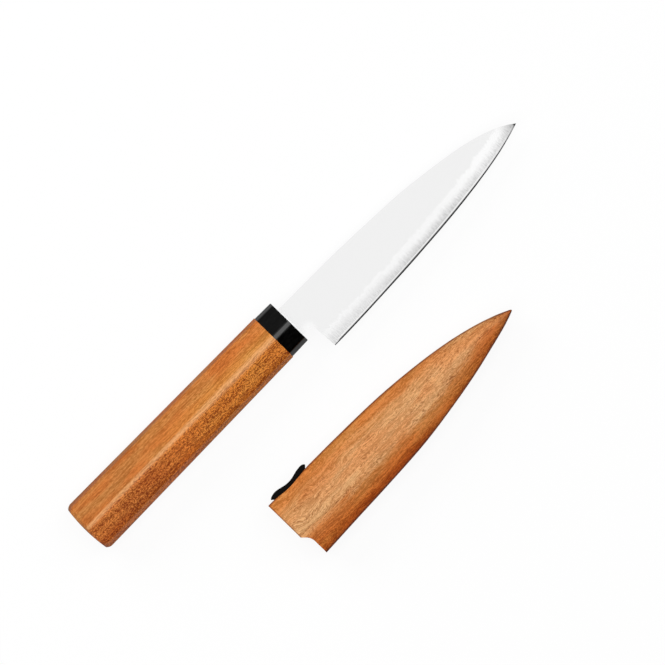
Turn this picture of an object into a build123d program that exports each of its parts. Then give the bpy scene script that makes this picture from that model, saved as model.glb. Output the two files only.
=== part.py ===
from build123d import *
import os
from math import cos, pi, radians, sin

# A small fruit knife with a hidden tang, and its wooden sheath lying beside it. All sizes are millimetres.
# +X runs from the handle to the blade's point, +Y from the cutting edge to the spine, and +Z is up.
# The knife is drawn about the middle of the ferrule's front face, in the plane of the blade.
# The sheath is drawn as it sits on the knife, then laid beside it. The origin is under the set's middle.

# Handle
handle_length = 95.5
handle_front_width = 19.45
handle_butt_width = 20.9
handle_front_ridge = 7.7
handle_butt_ridge = 8.4
rest_height = 7.3
rest_trim = 0.1
butt_rounding = 3.0
butt_steps = 4
butt_dome = 0.9

# Ferrule
ferrule_length = 7.9
ferrule_inset = 0.25
ferrule_front_taper = 0.15
ferrule_edge_break = 0.2
ferrule_wall = 1.8
tenon_length = 5.2
glue_gap = 0.05

# Blade and tang
blade_reach = 106.6
blade_thickness = 1.5
spine_height = 5.85
heel_depth = 17.6
point_drop = 8.5
neck_reach = 4.7
neck_depth = 7.1
heel_reach = 5.5
choil_radius = 1.2
bevel_width = 5.5
edge_bevel_width = 0.35
edge_bevel_thickness = 0.22
point_thinning = 0.34
grind_thinning = 0.12
neck_inset = 2.4
tang_length = 72.0
tang_width = 8.0
tang_end_width = 4.5
tang_thickness = 1.2
tang_root = 1.0

# Sheath
sheath_thickness = 15.0
sheath_back_wall = 1.42
sheath_edge_wall = 1.55
sheath_point_wall = 3.33
sheath_point_lift = 0.28
side_strip_width = 6.8
mouth_step = 2.66
mouth_step_start = 8.85
mouth_step_radius = 4.5
slot_clearance = 0.3
pocket_clearance = 0.2
pocket_tilt = 1.3
pocket_shift = 0.2
bow_steps = 12
sheath_steps = 27
sheath_lag = 52.0
sheath_spacing = 47.6

# Lock lever in the sheath's back, on two stub pins beside the blade's slot
lever_start = 2.2
lever_length = 17.45
lever_width = 6.4
lever_horn_height = 9.05
lever_dip_height = 8.05
lever_underside = 6.35
lip_lift = 0.75
lip_start = 1.0
lip_length = 0.5
ramp_length = 1.1
lever_edge_round = 0.35
nib_start = 2.4
nib_length = 4.2
nib_reach = 0.7
nib_thickness = 1.6
leg_gap = 0.3
leg_thickness = 1.3
leg_width = 3.2
pivot_offset = 8.95
pivot_depth = 2.6
pin_radius = 0.6
pin_grip = 2.2
pin_press_gap = 0.02
pin_run_gap = 0.05
scoop_depth = 0.82
scoop_overrun = 0.4
lever_clearance = 0.25
groove_start = 1.2
groove_depth = 1.37

# The two springs under the lever's thumb end
spring_offset = 5.2
spring_spacing = 4.6
spring_radius = 0.66
spring_wire_radius = 0.14
spring_turns = 4
spring_well_gap = 0.1
spring_well_depth = 2.5
spring_end_gap = 0.02

# One overrun carries every cut past the surface that it opens.
overrun = 2.0

# The sheath goes round the blade, which lies in it turned a little so that both its walls stay thick enough.
tilt = radians(pocket_tilt)
sheath_length = blade_reach * cos(tilt) + point_drop * sin(tilt) + sheath_point_wall
seated_point_drop = point_drop * cos(tilt) - blade_reach * sin(tilt) + pocket_shift
sheath_point_drop = seated_point_drop - sheath_point_lift
sheath_back_height = spine_height + sheath_back_wall
sheath_edge_depth = heel_depth + sheath_edge_wall
slot_half = blade_thickness / 2 + slot_clearance
lever_end = lever_start + lever_length
scoop_end = lever_end + scoop_overrun
groove_floor = sheath_back_height - groove_depth
pivot_x = lever_start + pivot_offset
pivot_y = sheath_back_height - pivot_depth
leg_inner = slot_half + leg_gap
leg_outer = leg_inner + leg_thickness
spring_x = pivot_x + spring_offset

# Half width, height over or under the blade's plane, and corner radius against the full width.
GRIP_SECTION_SHARES = (
    (-0.03, 1.00, 0.20),
    (0.87, 0.62, 0.08),
    (1.00, 0.12, 0.14),
    (1.00, -0.22, 0.14),
    (0.80, -0.86, 0.16),
    (0.48, -1.00, 0.14),
    (-0.48, -1.00, 0.14),
    (-0.80, -0.86, 0.16),
    (-1.00, -0.22, 0.14),
    (-1.00, 0.12, 0.14),
    (-0.83, 0.64, 0.08),
)

# Along the blade, and the drop from the spine's height to the point's.
SPINE_SHARES = (
    (0.107, 0.010),
    (0.240, 0.020),
    (0.373, 0.060),
    (0.480, 0.102),
    (0.560, 0.140),
    (0.640, 0.212),
    (0.720, 0.297),
    (0.800, 0.400),
    (0.880, 0.552),
    (0.940, 0.722),
)

# From heel to point, the rise from the heel's depth to the point's, and how much of the bevel is left.
EDGE_SHARES = (
    (0.142, 0.016, 1.00),
    (0.255, 0.056, 1.00),
    (0.367, 0.100, 1.00),
    (0.480, 0.168, 1.00),
    (0.592, 0.250, 1.00),
    (0.704, 0.365, 1.00),
    (0.816, 0.530, 1.00),
    (0.900, 0.700, 0.92),
    (0.957, 0.860, 0.60),
)

# From mouth to point: fall of the back, rise of the edge side, upper and lower thickness, side strips.
SHEATH_SHARES = (
    (0.000, 0.000, 1.00, 1.00, 1.00),
    (0.001, 0.048, 1.00, 1.00, 0.98),
    (0.021, 0.092, 0.98, 1.00, 0.94),
    (0.071, 0.164, 0.94, 1.00, 0.88),
    (0.188, 0.313, 0.86, 0.97, 0.80),
    (0.348, 0.485, 0.76, 0.89, 0.70),
    (0.546, 0.668, 0.65, 0.75, 0.60),
    (0.751, 0.816, 0.53, 0.60, 0.50),
    (0.915, 0.934, 0.42, 0.46, 0.41),
    (0.990, 0.992, 0.36, 0.38, 0.36),
)

# Along the scoop in the sheath's back, and its depth.
SCOOP_SHARES = (
    (0.00, 0.00),
    (0.16, 0.37),
    (0.30, 0.80),
    (0.45, 1.00),
    (0.60, 0.82),
    (0.84, 0.35),
    (1.00, 0.00),
)

# Along the lever, and the height from its dip to its horns.
LEVER_TOP_SHARES = (
    (0.00, -0.04),
    (0.02, 0.36),
    (0.07, 0.74),
    (0.15, 1.00),
    (0.27, 0.76),
    (0.40, 0.20),
    (0.51, 0.00),
    (0.62, 0.16),
    (0.74, 0.68),
    (0.85, 0.98),
    (0.93, 0.98),
    (0.98, 0.60),
    (1.00, 0.10),
)


def cross_plane(x):
    """A plane across the knife at x, with its own x along +Y and its own y along +Z."""
    return Plane(origin=(x, 0, 0), x_dir=(0, 1, 0), z_dir=(1, 0, 0))


def block(x0, x1, y0, y1, z0, z1):
    return Pos((x0 + x1) / 2, (y0 + y1) / 2, (z0 + z1) / 2) * Box(x1 - x0, y1 - y0, z1 - z0)


def layer_block(z0, z1):
    """A block over the whole sheath between two heights."""
    x1 = sheath_length + overrun
    y0 = -sheath_edge_depth - overrun
    return block(-overrun, x1, y0, sheath_back_height + overrun, z0, z1)


def prism(outline, half_height):
    """An outline in the blade's plane, thickened the same way up and down."""
    return extrude(make_face(outline), amount=half_height, both=True)


def grip_face(x, width, ridge, back):
    """The chestnut section: a ridge on the upper side and a flat to rest on below."""
    points = []
    radii = []
    for side_share, height_share, radius_share in GRIP_SECTION_SHARES:
        height = height_share * (ridge if height_share > 0 else back)
        points.append((side_share * width / 2, height))
        radii.append(radius_share * width)
    return cross_plane(x) * make_face(FilletPolyline(points, radius=radii, close=True))


def handle_face(x, inset):
    """The handle's front section, drawn in all round by the inset."""
    width = handle_front_width - 2 * inset
    return grip_face(x, width, handle_front_ridge - inset, rest_height + rest_trim - inset)


def tenon(grow):
    """The handle's front tenon, or its socket in the ferrule when grown by the glue gap."""
    face = handle_face(-ferrule_length, ferrule_inset + ferrule_wall - grow)
    return extrude(face, amount=tenon_length + grow)


def tang(grow):
    """The tang inside the handle, or the slot that holds it when grown by the glue gap."""
    start = tang_root - neck_inset
    end = -tang_length - grow
    middle = (spine_height - neck_depth) / 2
    half_start = tang_width / 2 + grow
    half_end = tang_end_width / 2 + grow
    outline = Polyline(
        (start, middle + half_start),
        (end, middle + half_end),
        (end, middle - half_end),
        (start, middle - half_start),
        close=True,
    )
    return prism(outline, tang_thickness / 2 + grow)


def spine_points(clearance):
    fall = spine_height + point_drop
    points = []
    for along, drop in SPINE_SHARES:
        points.append((along * blade_reach, spine_height - drop * fall + clearance))
    return points


def edge_points(inset):
    """From the point back to the heel. A positive inset moves the line up the blade's face."""
    run = blade_reach - heel_reach
    rise = heel_depth - point_drop
    points = []
    for along, risen, bevel_left in reversed(EDGE_SHARES):
        points.append((heel_reach + along * run, -heel_depth + risen * rise + inset * bevel_left))
    return points


def blade_face(inset, plane):
    """The blade's outline in one layer, with its edge moved up the face by the inset."""
    point = (blade_reach, -point_drop)
    slant = (heel_reach - neck_reach) / (heel_depth - neck_depth)
    heel = (heel_reach - slant * inset, -heel_depth + inset)
    spine = Spline([(-neck_inset, spine_height), *spine_points(0), point])
    edge = Spline([point, *edge_points(inset), heel])
    corners = (heel, (neck_reach, -neck_depth), (-neck_inset, -neck_depth))
    neck = FilletPolyline(corners, radius=choil_radius)
    back = Line((-neck_inset, -neck_depth), (-neck_inset, spine_height))
    return plane * make_face([spine, edge, neck, back])


def blade():
    """A blade that thins towards its point and its edge, with a narrow cutting bevel."""
    point_slope = point_thinning / blade_reach
    grind_slope = grind_thinning / (spine_height + heel_depth)
    face_height = blade_thickness / 2 - grind_slope * spine_height
    face_plane = Plane(
        origin=(0, 0, face_height),
        x_dir=(1, 0, -point_slope),
        z_dir=(point_slope, -grind_slope, 1),
    )
    layers = [
        blade_face(0, Plane.XY),
        blade_face(edge_bevel_width, Plane.XY.offset(edge_bevel_thickness / 2)),
        blade_face(bevel_width, face_plane),
    ]
    half = loft(layers, ruled=True)
    return half + half.mirror(Plane.XY) + tang(0)


def ferrule():
    back = handle_face(-ferrule_length, ferrule_inset)
    front = handle_face(0, ferrule_inset + ferrule_front_taper)
    body = loft([back, front], ruled=True)
    body = chamfer(body.faces().sort_by(Axis.X)[-1].edges(), ferrule_edge_break)
    half_slot = blade_thickness / 2 + glue_gap
    neck_slot = block(
        -neck_inset - glue_gap,
        overrun,
        -neck_depth - glue_gap,
        spine_height + glue_gap,
        -half_slot,
        half_slot,
    )
    return body - tenon(glue_gap) - neck_slot - tang(glue_gap)


def handle():
    """The wooden grip, rounded at the butt and trimmed flat along the side that it rests on."""
    butt_x = -handle_length - ferrule_length
    rounded = []
    for step in range(butt_steps + 1):
        turn = step / butt_steps * pi / 2
        inset = butt_rounding * (1 - sin(turn))
        x = butt_x + butt_rounding * (1 - cos(turn))
        width = handle_butt_width - 2 * inset
        back = rest_height + rest_trim - inset
        rounded.append(grip_face(x, width, handle_butt_ridge - inset, back))
    body = loft(rounded) + loft([rounded[-1], handle_face(-ferrule_length, 0)], ruled=True)
    half_width = handle_butt_width / 2
    dome_radius = (half_width**2 + butt_dome**2) / (2 * butt_dome)
    dome_height = 2 * (handle_butt_ridge + rest_height)
    dome = Pos(butt_x + dome_radius, 0, 0) * Cylinder(dome_radius, dome_height)
    below = -rest_height - overrun
    underneath = block(butt_x, 0, -half_width, half_width, below, -rest_height)
    return (body & dome) - underneath + tenon(0) - tang(glue_gap)


def bow(middle, reach, foot, rise):
    """Half an ellipse from the back strip over to the edge strip."""
    points = []
    for step in range(bow_steps + 1):
        turn = step / bow_steps * pi
        points.append((middle + reach * cos(turn), foot + rise * sin(turn)))
    return Spline(points)


def between_rows(rows, place):
    """A smooth blend of the table's rows at a place counted in rows."""
    last = len(rows) - 1
    row = min(int(place), last - 1)
    part = place - row
    blended = []
    for before, start, end, after in zip(
        rows[max(row - 1, 0)], rows[row], rows[row + 1], rows[min(row + 2, last)]
    ):
        bend = 2 * before - 5 * start + 4 * end - after
        twist = 3 * (start - end) + after - before
        blended.append(start + part / 2 * (end - before + part * (bend + part * twist)))
    return blended


def sheath_section(share):
    """Two upright side strips joined by half ellipses, at stations that draw closer to the point."""
    row = between_rows(SHEATH_SHARES, share * (len(SHEATH_SHARES) - 1))
    back_fallen, edge_risen, upper, lower, strip = row
    back = sheath_back_height - back_fallen * (sheath_back_height + sheath_point_drop)
    edge = -sheath_edge_depth + edge_risen * (sheath_edge_depth - sheath_point_drop)
    side = strip * side_strip_width / 2
    middle = (back + edge) / 2
    reach = (back - edge) / 2
    outline = [
        Line((back, -side), (back, side)),
        bow(middle, reach, side, upper * sheath_thickness / 2 - side),
        Line((edge, side), (edge, -side)),
        bow(middle, reach, -side, side - lower * sheath_thickness / 2),
    ]
    return cross_plane(sheath_length * sin(share * pi / 2)) * make_face(outline)


def mouth_step_cut():
    """Takes the mouth back by an ogee on its edge side."""
    near = (-mouth_step, -mouth_step_start + mouth_step)
    far = -sheath_edge_depth - overrun
    corners = (near, (mouth_step, -mouth_step_start - mouth_step), (mouth_step, far))
    ogee = FilletPolyline(corners, radius=mouth_step_radius)
    rest = Polyline((mouth_step, far), (-mouth_step, far), near)
    return prism([ogee, rest], sheath_thickness)


def scoop_cut():
    """The shallow hollow across the sheath's back that the lever lies in."""
    length = scoop_end - lever_start
    points = []
    for along, depth in SCOOP_SHARES:
        points.append((lever_start + along * length, sheath_back_height - depth * scoop_depth))
    top = sheath_back_height + overrun
    rest = Polyline(points[-1], (scoop_end, top), (lever_start, top), points[0])
    return prism([Spline(points), rest], sheath_thickness)


def sheath_body():
    body = loft([sheath_section(step / sheath_steps) for step in range(sheath_steps + 1)])
    underneath = layer_block(-sheath_thickness, -rest_height)
    return body - underneath - mouth_step_cut() - scoop_cut()


def lever_room():
    """Room in the wood for the lever, its two legs and its two springs."""
    top = sheath_back_height + overrun
    half = lever_width / 2 + lever_clearance
    room = block(groove_start, scoop_end, groove_floor, top, -half, half)
    reach = leg_width / 2 + leg_gap
    leg_side = leg_outer + leg_gap
    room += block(
        pivot_x - reach, pivot_x + reach, pivot_y - reach, top, -leg_side, leg_side
    )
    well_radius = spring_radius + spring_wire_radius + spring_well_gap
    well = Cylinder(well_radius, spring_well_depth)
    for side in (-1, 1):
        depth = groove_floor - spring_well_depth / 2
        room += Pos(spring_x, depth, side * spring_spacing / 2) * Rot(90, 0, 0) * well
    return room


def pivot_bar(radius, inner, outer):
    """A round bar along the lever's axis, on the upper side of the slot."""
    length = outer - inner
    return Pos(pivot_x, pivot_y, inner + length / 2) * Cylinder(radius, length)


def cheek(body, side):
    """One outer board of the sheath, flat inside and rounded outside: side is 1 above and -1 below."""
    inner, outer = sorted((side * slot_half, side * sheath_thickness))
    board = body & layer_block(inner, outer)
    hole = pivot_bar(pin_radius + pin_press_gap, slot_half, leg_outer + leg_gap + pin_grip)
    if side < 0:
        hole = hole.mirror(Plane.XY)
    return board - lever_room() - hole


def pocket():
    """The blade's own outline with clearance, open to the mouth and turned to clear both walls."""
    point = (blade_reach + pocket_clearance, -point_drop)
    back = spine_height + pocket_clearance
    edge = -heel_depth - pocket_clearance
    outline = [
        Spline([(-overrun, back), *spine_points(pocket_clearance), point]),
        Spline([point, *edge_points(-pocket_clearance), (heel_reach, edge)]),
        Polyline((heel_reach, edge), (-overrun, edge), (-overrun, back)),
    ]
    return Pos(0, -pocket_shift, 0) * Rot(0, 0, pocket_tilt) * prism(outline, slot_half + overrun)


def strips(body):
    """The two middle strips, along the back and along the edge side, parted at the point."""
    layer = (body & layer_block(-slot_half, slot_half)) - pocket()
    meeting = (sheath_length - sheath_point_wall, -seated_point_drop)
    far = sheath_length + overrun
    tip = (far, -sheath_point_drop)
    top = sheath_back_height + overrun
    bottom = -sheath_edge_depth - overrun
    back_side = Polyline((scoop_end, 0), meeting, tip, (far, top), (scoop_end, top), close=True)
    edge_side = Polyline((-overrun, 0), meeting, tip, (far, bottom), (-overrun, bottom), close=True)
    return layer & prism(back_side, sheath_thickness), layer & prism(edge_side, sheath_thickness)


def lever_bar():
    """The rocker's body: two raised ends with a dip between them, and a belly that fills the scoop."""
    lift = lever_underside + lip_lift
    lip = lip_start + lip_length
    tops = []
    for along, risen in LEVER_TOP_SHARES:
        height = lever_dip_height + risen * (lever_horn_height - lever_dip_height)
        tops.append((lever_start + along * lever_length, height))
    under = Polyline(
        tops[-1],
        (lever_end - lip_start, lift),
        (lever_end - lip, lift),
        (lever_end - lip - ramp_length, lever_underside),
        (lever_start + lip + ramp_length, lever_underside),
        (lever_start + lip, lift),
        (lever_start + lip_start, lift),
        tops[0],
    )
    bar = prism([Spline(tops), under], lever_width / 2)
    faces = bar.faces().sort_by(Axis.Z)
    return fillet(faces[0].edges() + faces[-1].edges(), lever_edge_round)


def lever():
    """The rocker with its nib over the blade's spine at the mouth end and a leg each side of the slot."""
    nib_x = lever_start + nib_start
    nib_y = lever_underside - nib_reach
    nib = Polyline(
        (nib_x, lever_underside),
        (nib_x + nib_reach, nib_y),
        (nib_x + nib_length, nib_y),
        (nib_x + nib_length, lever_dip_height),
        (nib_x + nib_reach, lever_dip_height),
        close=True,
    )
    half_leg = leg_width / 2
    root = (lever_underside + lever_dip_height) / 2
    leg = block(pivot_x - half_leg, pivot_x + half_leg, pivot_y, root, leg_inner, leg_outer)
    leg += pivot_bar(half_leg, leg_inner, leg_outer)
    leg -= pivot_bar(pin_radius + pin_run_gap, leg_inner - overrun, leg_outer + overrun)
    return lever_bar() + prism(nib, nib_thickness / 2) + leg + leg.mirror(Plane.XY)


def pivot_pins():
    pin = pivot_bar(pin_radius, leg_inner - leg_gap / 2, leg_outer + leg_gap + pin_grip - pin_press_gap)
    return Compound([pin, pin.mirror(Plane.XY)])


def springs():
    """Two coils that stand in their wells and lift the lever's thumb end."""
    foot = groove_floor - spring_well_depth + spring_wire_radius + spring_end_gap
    height = lever_underside - spring_wire_radius - spring_end_gap - foot
    coils = []
    for side in (-1, 1):
        centre = (spring_x, foot, side * spring_spacing / 2)
        path = Helix(height / spring_turns, height, spring_radius, center=centre, direction=(0, 1, 0))
        section = Plane(origin=path @ 0, z_dir=path % 0) * Circle(spring_wire_radius)
        coils.append(sweep(section, path=path, is_frenet=True))
    return Compound(coils)


body = sheath_body()
back_strip, edge_strip = strips(body)

knife = {"blade": blade(), "ferrule": ferrule(), "handle": handle()}
sheath = {
    "sheath_upper_cheek": cheek(body, 1),
    "sheath_lower_cheek": cheek(body, -1),
    "sheath_back_strip": back_strip,
    "sheath_edge_strip": edge_strip,
    "lock_lever": lever(),
    "lock_pivot_pins": pivot_pins(),
    "lock_springs": springs(),
}
beside = Pos(-sheath_lag, -sheath_spacing, 0)
pieces = dict(knife)
for name, solid in sheath.items():
    pieces[name] = beside * solid

box = Compound(list(pieces.values())).bounding_box()
to_origin = Pos(-box.center().X, -box.center().Y, rest_height)

os.makedirs("parts", exist_ok=True)
for name, solid in pieces.items():
    export_step(to_origin * solid, f"parts/{name}.step")

pivot = to_origin * beside * Pos(pivot_x, pivot_y, 0)
print("size", [round(side, 3) for side in box.size])
print("lever pivot", [round(value, 4) for value in pivot.position])
print("ferrule front", [round(value, 4) for value in to_origin.position])
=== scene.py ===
import math

import bmesh
import bpy
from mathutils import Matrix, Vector


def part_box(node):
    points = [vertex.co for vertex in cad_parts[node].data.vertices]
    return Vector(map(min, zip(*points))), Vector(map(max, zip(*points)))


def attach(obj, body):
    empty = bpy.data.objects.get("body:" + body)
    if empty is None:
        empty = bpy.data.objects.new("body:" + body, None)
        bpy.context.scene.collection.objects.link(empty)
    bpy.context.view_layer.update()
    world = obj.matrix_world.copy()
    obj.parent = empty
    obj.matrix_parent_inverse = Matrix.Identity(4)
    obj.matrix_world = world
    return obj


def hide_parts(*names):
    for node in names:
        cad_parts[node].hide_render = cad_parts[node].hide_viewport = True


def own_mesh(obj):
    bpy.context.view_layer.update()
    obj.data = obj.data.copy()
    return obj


# A paring knife and its wooden sheath on a white studio floor, seen from straight above. Lengths are metres,
# but names that end in mm and the patterns of the materials are in millimetres. The blade points along +X,
# and its spine faces +Y.

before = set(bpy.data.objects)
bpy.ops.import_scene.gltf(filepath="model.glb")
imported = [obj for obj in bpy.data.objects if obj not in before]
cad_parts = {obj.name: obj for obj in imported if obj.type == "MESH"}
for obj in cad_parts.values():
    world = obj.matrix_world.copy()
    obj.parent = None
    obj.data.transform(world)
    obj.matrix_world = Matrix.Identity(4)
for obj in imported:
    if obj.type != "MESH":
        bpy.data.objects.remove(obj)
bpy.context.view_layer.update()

MM_PER_METRE = 1000.0
WHITE = (1.0, 1.0, 1.0, 1.0)

# The picture's side, the knife's length and turn in it, and the middle of the ferrule's front face
IMAGE_SIDE_PX = 665
KNIFE_LENGTH_PX = 591.8
KNIFE_TURN = math.radians(45.71)
FERRULE_MIDDLE_PX = (289.2, 321.65)
CAMERA_HEIGHT = 1.5

# The cutting edge starts this far in front of the ferrule and ends this far under the ferrule's middle. On
# the way it rises by these shares of the run, of its square and of its eighth power.
HEEL_REACH_MM = 5.5
POINT_DROP_MM = 8.5
EDGE_STRAIGHT = 0.03
EDGE_BELLY = 0.67
EDGE_UPSWEEP = 0.30
EDGE_UPSWEEP_POWER = 8.0

# The bevel's painted reflection at the heel, the middle and the point: how many millimetres from the edge its
# grey starts and ends its rise, the grey next to the edge, and the pale grey where the bevel meets the flat
HEEL_BEVEL_REFLECTION = (2.8, 5.6, 0.83, 0.94)
MIDDLE_BEVEL_REFLECTION = (1.0, 4.8, 0.70, 0.95)
POINT_BEVEL_REFLECTION = (0.0, 4.6, 0.76, 0.99)
FLAT_GREY = (0.893, 0.893, 0.893, 1)
# The painted dark reflection along the cutting edge
EDGE_REFLECTION_GREY = (0.14, 0.14, 0.14, 1)

# The hollow between the ferrule and the heel, from the middle of the ferrule's front face
CHOIL_MM = (3.2, -6.7, 0)

# Wood colours, each a pair: the pale fibres and the deep ones
HANDLE_SPINE_SIDE = ((0.66, 0.235, 0.055, 1), (0.38, 0.105, 0.014, 1))
HANDLE_EDGE_SIDE = ((0.86, 0.262, 0.048, 1), (0.26, 0.042, 0.0008, 1))
# The sheath's middle colours hold a painted highlight as well as paler wood
SHEATH_MIDDLE_AND_HIGHLIGHT = ((0.84, 0.44, 0.185, 1), (0.54, 0.23, 0.075, 1))
SHEATH_BACK_SIDE = ((0.68, 0.252, 0.066, 1), (0.42, 0.132, 0.021, 1))
SHEATH_EDGE_SIDE = ((0.75, 0.228, 0.042, 1), (0.345, 0.080, 0.006, 1))

# The painted highlight on the handle's ridge, and how deep the grain is in both woods
RIDGE_HIGHLIGHT = (0.84, 0.43, 0.17, 1)
WOOD_RELIEF_MM = 0.02

# The coil springs.
SPRING_WIRE_RADIUS = 0.00014
SPRING_TURNS = 4
SPRING_STEPS_PER_TURN = 28
SPRING_WIRE_SIDES = 10

FLOOR_SIDE = 6


def node_middle(name):
    low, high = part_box(name)
    return (low + high) / 2


def knife_origin():
    """The middle of the ferrule's front face, on the floor."""
    low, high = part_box("ferrule")
    return Vector((high.x, (low.y + high.y) / 2, 0))


def aim_camera():
    """Looks straight down, turned so that the knife points up to the right as in the photo."""
    knife_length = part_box("blade")[1].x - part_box("handle")[0].x
    metres_per_px = knife_length / KNIFE_LENGTH_PX
    right_px = IMAGE_SIDE_PX / 2 - FERRULE_MIDDLE_PX[0]
    up_px = FERRULE_MIDDLE_PX[1] - IMAGE_SIDE_PX / 2
    turned_x = right_px * math.cos(KNIFE_TURN) + up_px * math.sin(KNIFE_TURN)
    turned_y = up_px * math.cos(KNIFE_TURN) - right_px * math.sin(KNIFE_TURN)
    centre = knife_origin() + Vector((turned_x, turned_y, 0)) * metres_per_px
    lens = bpy.data.cameras.new("camera")
    lens.type = "ORTHO"
    lens.ortho_scale = IMAGE_SIDE_PX * metres_per_px
    camera = bpy.data.objects.new("camera", lens)
    camera.location = (centre.x, centre.y, CAMERA_HEIGHT)
    camera.rotation_euler = (0, 0, -KNIFE_TURN)
    bpy.context.scene.collection.objects.link(camera)
    bpy.context.scene.camera = camera


def connect(tree, socket, value):
    """Feeds a socket from another node's output, or sets its plain value."""
    if isinstance(value, bpy.types.NodeSocket):
        tree.links.new(value, socket)
    else:
        socket.default_value = value


def add(tree, kind, inputs=None, **settings):
    """A shader node with its settings, whose inputs are plain values or other nodes' outputs."""
    node = tree.nodes.new(kind)
    for name, value in settings.items():
        setattr(node, name, value)
    for name, value in (inputs or {}).items():
        connect(tree, node.inputs[name], value)
    return node


def math_node(tree, operation, first, second=0.0, third=0.0, clamp=False):
    inputs = {0: first, 1: second, 2: third}
    return add(tree, "ShaderNodeMath", inputs, operation=operation, use_clamp=clamp).outputs[0]


def scaled(tree, value, factor, offset=0.0, clamp=False):
    """The value times the factor, plus the offset."""
    return math_node(tree, "MULTIPLY_ADD", value, factor, offset, clamp)


def both(tree, first, second):
    """How far two masks hold together."""
    return math_node(tree, "MULTIPLY", first, second)


def vector_node(tree, operation, first, second=(0, 0, 0)):
    return add(tree, "ShaderNodeVectorMath", {0: first, 1: second}, operation=operation)


def stretch(tree, vector, factors):
    return vector_node(tree, "MULTIPLY", vector, factors).outputs[0]


def axis_value(tree, vector, axis):
    return add(tree, "ShaderNodeSeparateXYZ", {0: vector}).outputs[axis]


def ramp(tree, value, start, end, low=0.0, high=1.0):
    """A smooth step from low to high while the value goes from start to end."""
    inputs = {"Value": value, "From Min": start, "From Max": end, "To Min": low, "To Max": high}
    return add(tree, "ShaderNodeMapRange", inputs, interpolation_type="SMOOTHSTEP").outputs[0]


def share_of_way(tree, value, start, end):
    """The value's share of the way from start to end, held between 0 and 1."""
    inputs = {"Value": value, "From Min": start, "From Max": end}
    return add(tree, "ShaderNodeMapRange", inputs).outputs[0]


def noise(tree, vector, scale, detail=2.0, roughness=0.5):
    inputs = {"Vector": vector, "Scale": scale, "Detail": detail, "Roughness": roughness}
    return add(tree, "ShaderNodeTexNoise", inputs).outputs[0]


def stretched_noise(tree, vector, factors, scale, detail=2.0, roughness=0.5):
    """Noise whose spots are longer along an axis with a smaller factor."""
    return noise(tree, stretch(tree, vector, factors), scale, detail, roughness)


def swayed(tree, vector, factors, scale, reach_mm):
    """The place pushed sideways by a slow noise, so that the grain bends."""
    bend = math_node(tree, "SUBTRACT", stretched_noise(tree, vector, factors, scale, 1.0), 0.5)
    sideways = math_node(tree, "MULTIPLY", bend, reach_mm)
    shift = add(tree, "ShaderNodeCombineXYZ", {"Y": sideways}).outputs[0]
    return vector_node(tree, "ADD", vector, shift).outputs[0]


def blend(tree, factor, first, second, mode="MIX"):
    node = add(tree, "ShaderNodeMix", data_type="RGBA", blend_type=mode, clamp_factor=True)
    for socket, value in ((node.inputs[0], factor), (node.inputs[6], first), (node.inputs[7], second)):
        connect(tree, socket, value)
    return node.outputs[2]


def times(tree, factor, colour, by):
    """The colour multiplied by another one, as far as the factor asks for it."""
    return blend(tree, factor, colour, by, "MULTIPLY")


def blend_pairs(tree, factor, first, second):
    """Blends the pale colours of two pairs, and the deep ones."""
    return [blend(tree, factor, one, other) for one, other in zip(first, second)]


def new_group(name, inputs, outputs):
    """An empty node group. Inputs are (name, socket kind, default) and outputs are (name, socket kind)."""
    group = bpy.data.node_groups.new(name, "ShaderNodeTree")
    for label, kind, default in inputs:
        socket = group.interface.new_socket(label, in_out="INPUT", socket_type="NodeSocket" + kind)
        if default is not None:
            socket.default_value = default
    for label, kind in outputs:
        group.interface.new_socket(label, in_out="OUTPUT", socket_type="NodeSocket" + kind)
    return group, add(group, "NodeGroupInput").outputs, add(group, "NodeGroupOutput").inputs


def place_group(tree, group, inputs):
    node = tree.nodes.new("ShaderNodeGroup")
    node.node_tree = group
    for name, value in inputs.items():
        connect(tree, node.inputs[name], value)
    return node.outputs


def new_material(name):
    material = bpy.data.materials.new(name)
    material.use_nodes = True
    material.node_tree.nodes.clear()
    return material, material.node_tree


def coordinates_mm(tree, centre):
    """Object coordinates in millimetres from a centre given in metres."""
    place = add(tree, "ShaderNodeTexCoord").outputs["Object"]
    shifted = tuple(-MM_PER_METRE * value for value in centre)
    inputs = {"Vector": place, "Location": shifted, "Scale": (MM_PER_METRE,) * 3}
    return add(tree, "ShaderNodeMapping", inputs).outputs[0]


def face_direction(tree, axis):
    """The component of the face's direction along an axis of the object."""
    return axis_value(tree, add(tree, "ShaderNodeTexCoord").outputs["Normal"], axis)


def facing_up(tree):
    """How far the face looks up or down: 1 on a level face and 0 on an upright one."""
    return math_node(tree, "ABSOLUTE", face_direction(tree, 2))


def bump(tree, height, distance_mm):
    inputs = {"Height": height, "Distance": distance_mm / MM_PER_METRE, "Strength": 1.0}
    return add(tree, "ShaderNodeBump", inputs).outputs[0]


def shade(tree, **inputs):
    """Ends a material in a Principled BSDF. Underscores in the names stand for spaces."""
    named = {name.replace("_", " "): value for name, value in inputs.items()}
    shader = add(tree, "ShaderNodeBsdfPrincipled", named)
    output = add(tree, "ShaderNodeOutputMaterial")
    tree.links.new(shader.outputs[0], output.inputs["Surface"])


def wood_fibres(tree, place, curled):
    """Long threads along the grain with finer grit on them, from -0.5 to 0.5."""
    thread = stretched_noise(tree, place, (0.05, 1, 1), 2.4, 2.0, 0.6)
    grit = stretched_noise(tree, curled, (0.22, 1, 1), 3.4, 3.0, 0.7)
    return ramp(tree, scaled(tree, grit, 1.3, thread), 0.85, 1.45, -0.5, 0.5)


def wood_bands(tree, place):
    """Broad pale and deep bands along the grain, from -0.5 to 0.5."""
    return ramp(tree, stretched_noise(tree, place, (0.06, 1, 1), 0.45, 3.0), 0.32, 0.68, -0.5, 0.5)


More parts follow.
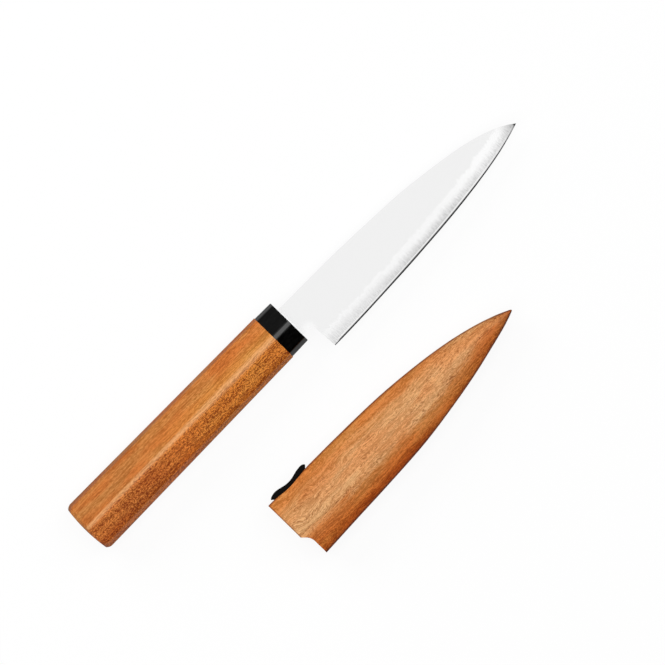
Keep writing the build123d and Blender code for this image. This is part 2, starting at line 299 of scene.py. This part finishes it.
def wood_flecks(tree, curled):
    """Short dashes crossed by rays, from -0.5 to 0.5."""
    dash = stretched_noise(tree, curled, (0.36, 1, 1), 3.5, 3.0, 0.7)
    ray = stretched_noise(tree, curled, (1.3, 0.5, 1), 3.0, 2.0, 0.6)
    return ramp(tree, scaled(tree, ray, 0.5, dash), 0.66, 0.84, -0.5, 0.5)


def wood_pores(tree, place, curled, share):
    """Open pores in clusters, and a few long dark veins."""
    pore = ramp(tree, stretched_noise(tree, curled, (0.30, 1, 1), 2.7, 1.0), 0.54, 0.64)
    cluster = ramp(tree, stretched_noise(tree, place, (0.10, 1, 1), 0.42, 1.0), 0.40, 0.60, 0.25, 1.0)
    open_pore = both(tree, both(tree, pore, cluster), share)
    off_vein = math_node(tree, "SUBTRACT", stretched_noise(tree, place, (0.02, 1, 1), 0.9, 2.0), 0.5)
    vein = both(tree, ramp(tree, math_node(tree, "ABSOLUTE", off_vein), 0.02, 0.0), share)
    return math_node(tree, "MAXIMUM", open_pore, math_node(tree, "MULTIPLY", vein, 0.4))


def wood_figure_group():
    """The wood's colour and relief: fibres, bands, flecks, redder and paler patches, pores and veins."""
    inputs = [
        ("Vector", "Vector", None),
        ("Pale", "Color", WHITE),
        ("Deep", "Color", WHITE),
        ("Fibre", "Float", 1.0),
        ("Band", "Float", 1.0),
        ("Pore", "Float", 1.0),
        ("Fleck", "Float", 0.0),
        ("Patch", "Float", 1.0),
        ("Sway", "Float", 1.0),
    ]
    outputs = [("Color", "Color"), ("Height", "Float")]
    tree, given, made = new_group("wood_figure", inputs, outputs)
    place = swayed(tree, given["Vector"], (0.35, 1, 1), 0.16, given["Sway"])
    curled = swayed(tree, place, (0.6, 1, 1), 0.55, 1.4)

    fibre = wood_fibres(tree, place, curled)
    tone = scaled(tree, fibre, given["Fibre"], 0.5)
    tone = scaled(tree, wood_bands(tree, place), given["Band"], tone)
    tone = scaled(tree, wood_flecks(tree, curled), given["Fleck"], tone, clamp=True)
    colour = blend(tree, tone, given["Deep"], given["Pale"])

    patch = ramp(tree, stretched_noise(tree, place, (0.25, 1, 1), 0.22, 1.0), 0.38, 0.62)
    tint = blend(tree, patch, (1.0, 0.84, 0.68, 1), (1.0, 1.12, 1.2, 1))
    colour = times(tree, given["Patch"], colour, tint)

    dark = wood_pores(tree, place, curled, given["Pore"])
    tree.links.new(times(tree, dark, colour, (0.58, 0.45, 0.36, 1)), made["Color"])
    tree.links.new(math_node(tree, "SUBTRACT", fibre, dark), made["Height"])
    return tree


def painted_ridge_highlight(tree, along, across, relief):
    """How strong the painted highlight on the ridge is: on faces that look up, stronger on raised fibres,
    wider at the ferrule.
    """
    widening = ramp(tree, along, -15, 20, 1.0, 0.6)
    off_ridge = math_node(tree, "MULTIPLY", math_node(tree, "ABSOLUTE", across), widening)
    upward = ramp(tree, face_direction(tree, 2), 0.5, 0.8)
    ridge_highlight = both(tree, ramp(tree, off_ridge, 1.15, 0.1), upward)
    return both(tree, ridge_highlight, scaled(tree, relief, 0.6, 0.62))


def handle_wood(figure):
    """Straight fibres on the spine side, short flecks on the edge side, and a painted highlight along the
    ridge.
    """
    material, tree = new_material("handle_wood")
    place = coordinates_mm(tree, node_middle("handle"))
    along = axis_value(tree, place, 0)
    across = axis_value(tree, place, 1)
    edge_side = ramp(tree, across, 0.4, -0.9)
    pale, deep = blend_pairs(tree, edge_side, HANDLE_SPINE_SIDE, HANDLE_EDGE_SIDE)
    settings = {
        "Vector": place,
        "Pale": pale,
        "Deep": deep,
        "Fibre": 1.15,
        "Band": scaled(tree, edge_side, 0.15, 0.4),
        "Pore": 0.3,
        "Fleck": scaled(tree, edge_side, 1.2, 0.15),
        "Patch": scaled(tree, edge_side, -0.5, 0.9),
        "Sway": 1.5,
    }
    made = place_group(tree, figure, settings)

    golden = both(tree, ramp(tree, across, 6.0, 2.2), ramp(tree, along, -22, 18))
    gold = blend(tree, edge_side, (1.08, 1.40, 1.50, 1), (1.0, 1.15, 0.95, 1))
    colour = times(tree, golden, made["Color"], gold)
    # Darker toward the butt
    toward_butt = ramp(tree, along, 0, -35)
    colour = times(tree, toward_butt, colour, (0.91, 0.94, 1.0, 1))
    # Painted highlight: the ridge is blended toward a paler colour
    ridge_highlight = painted_ridge_highlight(tree, along, across, made["Height"])
    colour = blend(tree, ridge_highlight, colour, RIDGE_HIGHLIGHT)

    # Painted shade on the outer part of the edge-side facet
    shaded_outer_strip = ramp(tree, across, -6.1, -7.0)
    colour = times(tree, shaded_outer_strip, colour, (0.80, 0.68, 0.50, 1))
    # Painted light: the steep facet on the edge side is brightened
    lit_outer_facet = ramp(tree, face_direction(tree, 1), -0.62, -0.8)
    colour = times(tree, lit_outer_facet, colour, (1.5, 1.7, 2.4, 1))
    # Painted shade: upright faces darkened into a dark outline
    shaded_rim = ramp(tree, facing_up(tree), 0.42, 0.2)
    colour = times(tree, shaded_rim, colour, (0.6, 0.55, 0.55, 1))
    normal = bump(tree, made["Height"], WOOD_RELIEF_MM)
    shade(tree, Base_Color=colour, Roughness=0.45, Normal=normal, Specular_IOR_Level=0.22)
    return material


def sheath_rims(tree, colour, along, across, half_length_mm):
    """Darkens the sheath toward its point and along its mouth, and paints shade in a strip on the edge side
    and at its rims.
    """
    near_point = ramp(tree, along, half_length_mm - 9, half_length_mm)
    colour = times(tree, near_point, colour, (0.72, 0.58, 0.5, 1))
    up = facing_up(tree)
    # Painted shade on the sloped faces of the edge side
    shaded_edge_strip = both(tree, ramp(tree, up, 0.97, 0.86), ramp(tree, across, -4.0, -8.0))
    shaded_edge_strip = both(tree, shaded_edge_strip, ramp(tree, along, 2, 14, 1.0, 0.0))
    colour = times(tree, shaded_edge_strip, colour, (0.76, 0.55, 0.38, 1))
    # Painted shade: upright faces darkened into a dark outline
    shaded_rim = both(tree, ramp(tree, up, 0.85, 0.45), ramp(tree, up, 0.1, 0.4, 0.3, 1.0))
    mouth_line = ramp(tree, along, 0.6 - half_length_mm, 0.15 - half_length_mm, 0.0, 0.8)
    dark = math_node(tree, "MAXIMUM", shaded_rim, mouth_line)
    return times(tree, dark, colour, (0.42, 0.29, 0.20, 1))


def sheath_wood(figure):
    """A pale porous middle between two redder sides, which moves toward the back near the point. The pale
    middle is partly paler wood and partly a painted highlight along the crown.
    """
    material, tree = new_material("sheath_wood")
    low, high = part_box("sheath_upper_cheek")
    half_length_mm = (high.x - low.x) / 2 * MM_PER_METRE
    place = coordinates_mm(tree, node_middle("sheath_upper_cheek"))
    along = axis_value(tree, place, 0)
    across = axis_value(tree, swayed(tree, place, (0.18, 1, 1), 0.8, 4.0), 1)
    across = math_node(tree, "SUBTRACT", across, ramp(tree, along, 5, 48, 0.0, 5.5))
    # Partly a paler band in the wood, partly a painted highlight along the crown
    pale_band_and_highlight = both(tree, ramp(tree, across, 12.0, 0.5), ramp(tree, across, -5.8, -2.6))
    back_side = ramp(tree, across, -9.5, -4.0)
    sides = blend_pairs(tree, back_side, SHEATH_EDGE_SIDE, SHEATH_BACK_SIDE)
    pale, deep = blend_pairs(tree, pale_band_and_highlight, sides, SHEATH_MIDDLE_AND_HIGHLIGHT)
    off_line = math_node(tree, "ABSOLUTE", math_node(tree, "ADD", across, 3.9))
    line_pores = ramp(tree, off_line, 1.6, 0.2, 0.0, 0.5)
    settings = {
        "Vector": place,
        "Pale": pale,
        "Deep": deep,
        "Fibre": 1.15,
        "Band": 0.6,
        "Pore": math_node(tree, "ADD", scaled(tree, pale_band_and_highlight, 0.5, 0.4), line_pores),
        "Fleck": 0.45,
        "Patch": 0.6,
        "Sway": ramp(tree, along, -5, -45, 3.0, 8.0),
    }
    made = place_group(tree, figure, settings)
    toward_point = ramp(tree, along, 5, 40)
    colour = times(tree, toward_point, made["Color"], (0.92, 0.84, 0.78, 1))
    colour = sheath_rims(tree, colour, along, across, half_length_mm)
    normal = bump(tree, made["Height"], WOOD_RELIEF_MM)
    shade(tree, Base_Color=colour, Roughness=0.5, Normal=normal, Specular_IOR_Level=0.18)
    return material


def ferrule_plastic():
    """Polished black plastic with the faint polishing haze that such collars have."""
    material, tree = new_material("ferrule_plastic")
    place = coordinates_mm(tree, node_middle("ferrule"))
    haze = stretched_noise(tree, place, (0.3, 1, 1), 1.4, 3.0)
    rough = ramp(tree, haze, 0.3, 0.7, 0.12, 0.2)
    colour = blend(tree, haze, (0.0004, 0.0004, 0.0003, 1), (0.0010, 0.0009, 0.0008, 1))
    shade(tree, Base_Color=colour, Roughness=rough, IOR=1.45)
    return material


def lever_plastic():
    """Black moulded plastic with a fine matt grain."""
    material, tree = new_material("lever_plastic")
    place = coordinates_mm(tree, node_middle("lock_lever"))
    grain = noise(tree, place, 9.0, 2.0)
    colour = blend(tree, grain, (0.0012, 0.0010, 0.0008, 1), (0.0035, 0.0028, 0.0022, 1))
    shade(tree, Base_Color=colour, Roughness=0.6, Normal=bump(tree, grain, 0.01), Specular_IOR_Level=0.04)
    return material


def edge_distance(tree, place, origin):
    """A place's distance from the cutting edge, in millimetres, and its share of the way along the edge."""
    low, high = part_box("blade")
    blade_reach_mm = (high.x - origin.x) * MM_PER_METRE
    heel_depth_mm = (origin.y - low.y) * MM_PER_METRE
    run = share_of_way(tree, axis_value(tree, place, 0), HEEL_REACH_MM, blade_reach_mm)
    belly = math_node(tree, "MULTIPLY", scaled(tree, run, EDGE_BELLY, EDGE_STRAIGHT), run)
    upsweep = math_node(tree, "POWER", run, EDGE_UPSWEEP_POWER)
    rise = scaled(tree, upsweep, EDGE_UPSWEEP, belly)
    from_heel = math_node(tree, "ADD", axis_value(tree, place, 1), heel_depth_mm)
    return scaled(tree, rise, POINT_DROP_MM - heel_depth_mm, from_heel), run


def bevel_painted_reflection(tree, place, from_edge, run):
    """Painted reflection: the grey that deepens toward the edge, and the pale feathered line where the bevel
    starts.
    """
    wave = math_node(tree, "SUBTRACT", stretched_noise(tree, place, (1, 0.5, 0), 0.22, 3.0, 0.6), 0.5)
    feather = math_node(tree, "SUBTRACT", stretched_noise(tree, place, (1, 0.16, 0), 1.3, 2.0, 0.6), 0.5)
    wavy = scaled(tree, feather, 2.8, scaled(tree, wave, 2.4, from_edge))
    zones = [ramp(tree, wavy, *bevel) for bevel in (HEEL_BEVEL_REFLECTION, MIDDLE_BEVEL_REFLECTION, POINT_BEVEL_REFLECTION)]
    grey = blend(tree, ramp(tree, run, 0.16, 0.42), zones[0], zones[1])
    grey = blend(tree, ramp(tree, run, 0.58, 0.84), grey, zones[2])
    grey = blend(tree, ramp(tree, wavy, 5.6, 6.8), grey, FLAT_GREY)
    scratches = ramp(tree, stretched_noise(tree, place, (1, 0.22, 0), 2.6, 2.0, 0.6), 0.35, 0.65)
    scratched = blend(tree, scratches, (0.60, 0.60, 0.60, 1), (1.08, 1.08, 1.08, 1))
    return times(tree, ramp(tree, from_edge, 0.4, 4.6, 0.5, 0.0), grey, scratched)


def painted_edge_reflection(tree, from_edge, run):
    """The painted dark reflection along the cutting edge, widest a third of the way along and fainter toward
    the point.
    """
    turned_away = both(tree, ramp(tree, facing_up(tree), 0.975, 0.965), ramp(tree, from_edge, 1.2, 0.9))
    off_widest = math_node(tree, "ABSOLUTE", math_node(tree, "SUBTRACT", run, 0.35))
    dark_edge_reflection = ramp(tree, scaled(tree, off_widest, 0.4, from_edge), 0.84, 0.60)
    dark = math_node(tree, "MAXIMUM", turned_away, dark_edge_reflection)
    return both(tree, dark, ramp(tree, run, 0.75, 0.95, 1.0, 0.6))


def blade_steel():
    """Satin stainless, with painted reflections: a feathered pale line on the bevel, a bright thin land and a
    dark edge.
    """
    material, tree = new_material("blade_steel")
    origin = knife_origin()
    place = coordinates_mm(tree, origin)
    from_edge, run = edge_distance(tree, place, origin)
    colour = bevel_painted_reflection(tree, place, from_edge, run)

    off_choil = stretch(tree, vector_node(tree, "SUBTRACT", place, CHOIL_MM).outputs[0], (1, 1, 0))
    off_choil = vector_node(tree, "LENGTH", off_choil).outputs["Value"]
    colour = blend(tree, ramp(tree, off_choil, 3.8, 0.5), colour, (0.96, 0.96, 0.96, 1))
    at_point = ramp(tree, run, 0.92, 1.0)
    colour = times(tree, at_point, colour, (0.72, 0.72, 0.72, 1))
    past_heel = ramp(tree, run, 0.016, 0.028)
    # Painted highlight on the thin land beside the edge
    land_highlight = both(tree, ramp(tree, from_edge, 1.2, 0.95), ramp(tree, run, 0.75, 1.0, 0.8, 0.2))
    colour = blend(tree, both(tree, land_highlight, past_heel), colour, (0.97, 0.97, 0.97, 1))
    # Painted dark reflection along the cutting edge
    dark_edge_reflection = painted_edge_reflection(tree, from_edge, run)
    colour = blend(tree, both(tree, dark_edge_reflection, past_heel), colour, EDGE_REFLECTION_GREY)

    polish_lines = stretched_noise(tree, place, (0.3, 5.0, 1), 2.0, 3.0)
    rough = ramp(tree, polish_lines, 0.3, 0.7, 0.16, 0.22)
    shade(tree, Base_Color=colour, Metallic=1.0, Roughness=rough)
    return material


def small_steel():
    """Plain drawn steel for the pins and the springs."""
    material, tree = new_material("small_steel")
    place = coordinates_mm(tree, node_middle("lock_springs"))
    grain = noise(tree, place, 12.0, 2.0)
    colour = blend(tree, grain, (0.42, 0.42, 0.43, 1), (0.58, 0.58, 0.58, 1))
    shade(tree, Base_Color=colour, Metallic=1.0, Roughness=0.35)
    return material


def wind_coil(mesh, foot, radius, climb, steps):
    """Winds one spring: a small circle beside the axis is turned round it while it climbs along Y."""
    wire = bmesh.ops.create_circle(mesh, segments=SPRING_WIRE_SIDES, radius=SPRING_WIRE_RADIUS)["verts"]
    bmesh.ops.translate(mesh, verts=wire, vec=(foot.x + radius, foot.y, foot.z))
    bmesh.ops.spin(
        mesh,
        geom=wire + list({edge for vert in wire for edge in vert.link_edges}),
        cent=foot,
        axis=(0, 1, 0),
        dvec=(0, climb, 0),
        angle=math.tau * SPRING_TURNS,
        steps=steps,
    )


def coil_springs(finish):
    """The two springs under the lever's thumb end."""
    low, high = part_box("lock_springs")
    middle_x = (low.x + high.x) / 2
    outer_radius = (high.x - low.x) / 2
    foot_y = low.y + SPRING_WIRE_RADIUS
    steps = SPRING_TURNS * SPRING_STEPS_PER_TURN
    climb = (high.y - SPRING_WIRE_RADIUS - foot_y) / steps
    mesh = bmesh.new()
    for z in (low.z + outer_radius, high.z - outer_radius):
        wind_coil(mesh, Vector((middle_x, foot_y, z)), outer_radius - SPRING_WIRE_RADIUS, climb, steps)
    bmesh.ops.holes_fill(mesh, edges=mesh.edges)
    bmesh.ops.recalc_face_normals(mesh, faces=mesh.faces)
    shape = bpy.data.meshes.new("coil_springs")
    mesh.to_mesh(shape)
    mesh.free()
    shape.materials.append(finish)
    shape.polygons.foreach_set("use_smooth", [True] * len(shape.polygons))
    springs = bpy.data.objects.new("coil_springs", shape)
    bpy.context.scene.collection.objects.link(springs)
    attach(springs, "sheath")
    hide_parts("lock_springs")
    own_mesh(springs)


def background_rays(tree):
    """1 for rays that show the background itself: seen straight, in a reflection, or through glass."""
    path = add(tree, "ShaderNodeLightPath").outputs
    seen = math_node(tree, "MAXIMUM", path["Is Camera Ray"], path["Is Glossy Ray"])
    return math_node(tree, "MAXIMUM", seen, path["Is Transmission Ray"])


def lay_floor():
    """A white floor that keeps only a faint part of the shadow and throws less light back up."""
    material, tree = new_material("floor_white")
    path = add(tree, "ShaderNodeLightPath").outputs
    dimmed_in_gloss = scaled(tree, path["Is Glossy Ray"], -0.65, 1.0)
    white = add(tree, "ShaderNodeEmission", {"Color": WHITE, "Strength": dimmed_in_gloss}).outputs[0]
    bounced = blend(tree, path["Is Diffuse Ray"], (0.98, 0.98, 0.98, 1), (0.7, 0.7, 0.7, 1))
    lit = add(tree, "ShaderNodeBsdfDiffuse", {"Color": bounced}).outputs[0]
    white_share = math_node(tree, "MULTIPLY", background_rays(tree), 0.9)
    mixed = add(tree, "ShaderNodeMixShader", {0: white_share, 1: lit, 2: white}).outputs[0]
    output = add(tree, "ShaderNodeOutputMaterial")
    tree.links.new(mixed, output.inputs["Surface"])
    bpy.ops.mesh.primitive_plane_add(size=FLOOR_SIDE)
    floor = bpy.context.object
    floor.name = "floor"
    floor.data.materials.append(material)


def mirrored_studio(tree):
    """What gloss mirrors: a white ceiling, a dim wall on the spine side, a dark one opposite, grey ends."""
    direction = add(tree, "ShaderNodeTexCoord").outputs["Generated"]
    side = axis_value(tree, direction, 1)
    edge_wall = ramp(tree, side, -0.58, -0.3, 0.01, 1.0)
    spine_wall = ramp(tree, side, 0.58, 0.3, 0.2, 1.0)
    off_middle = math_node(tree, "ABSOLUTE", axis_value(tree, direction, 0))
    ends = ramp(tree, off_middle, 0.35, 0.6, 0.0, 0.55)
    return math_node(tree, "MAXIMUM", both(tree, edge_wall, spine_wall), ends)


def light_world():
    """A faint fill for the object, white where the world is seen straight, and the studio in reflections."""
    world = bpy.data.worlds.new("studio")
    bpy.context.scene.world = world
    world.use_nodes = True
    tree = world.node_tree
    tree.nodes.clear()
    fill = add(tree, "ShaderNodeBackground", {"Color": WHITE, "Strength": 0.12}).outputs[0]
    path = add(tree, "ShaderNodeLightPath").outputs
    straight = math_node(tree, "MAXIMUM", path["Is Camera Ray"], path["Is Transmission Ray"])
    strength = math_node(tree, "MAXIMUM", straight, mirrored_studio(tree))
    shown = add(tree, "ShaderNodeBackground", {"Color": WHITE, "Strength": strength}).outputs[0]
    mixed = add(tree, "ShaderNodeMixShader", {0: background_rays(tree), 1: fill, 2: shown}).outputs[0]
    output = add(tree, "ShaderNodeOutputWorld")
    tree.links.new(mixed, output.inputs["Surface"])


def area_light(name, place, size, radiance, mirrored):
    """A rectangular softbox that faces the middle of the floor, with its power worked out from radiance."""
    lamp = bpy.data.lights.new(name, "AREA")
    lamp.shape = "RECTANGLE"
    lamp.size, lamp.size_y = size
    lamp.energy = radiance * math.pi * lamp.size * lamp.size_y
    light = bpy.data.objects.new(name, lamp)
    light.location = place
    light.rotation_euler = (-Vector(place)).to_track_quat("-Z", "Y").to_euler()
    light.visible_glossy = mirrored
    bpy.context.scene.collection.objects.link(light)
    return light


def link_light(light, piece, state):
    """Lights only one piece (INCLUDE), or all but that piece (EXCLUDE), as a flag does in a studio."""
    flag = bpy.data.collections.new(light.name + "_flag")
    flag.objects.link(piece)
    flag.collection_objects[0].light_linking.link_state = state
    light.light_linking.receiver_collection = flag


def light_studio():
    """A strip overhead for all but the blade, two low cards for the blade alone, and a soft side light."""
    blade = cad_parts["blade"]
    strip = area_light("overhead_strip", place=(0, 0, 1.0), size=(3.0, 0.75), radiance=2.0, mirrored=True)
    link_light(strip, blade, "EXCLUDE")
    for name, y in (("spine_side_card", 1.5), ("edge_side_card", -1.5)):
        card = area_light(name, place=(0, y, 0.45), size=(2.2, 0.9), radiance=0.45, mirrored=True)
        link_light(card, blade, "INCLUDE")
    area_light(
        "spine_side_softbox",
        place=(-0.2, 1.5, 0.87),
        size=(1.2, 1.2),
        radiance=3.6,
        mirrored=False,
    )


aim_camera()
light_world()
lay_floor()
light_studio()

wood_figure = wood_figure_group()
sheath_finish = sheath_wood(wood_figure)
steel_finish = small_steel()
finishes = {
    "blade": blade_steel(),
    "ferrule": ferrule_plastic(),
    "handle": handle_wood(wood_figure),
    "sheath_upper_cheek": sheath_finish,
    "sheath_lower_cheek": sheath_finish,
    "sheath_back_strip": sheath_finish,
    "sheath_edge_strip": sheath_finish,
    "lock_lever": lever_plastic(),
    "lock_pivot_pins": steel_finish,
    "lock_springs": steel_finish,
}
coil_springs(steel_finish)
for name, finish in finishes.items():
    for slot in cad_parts[name].material_slots:
        slot.material = finish

bpy.context.scene.view_settings.view_transform = "Standard"
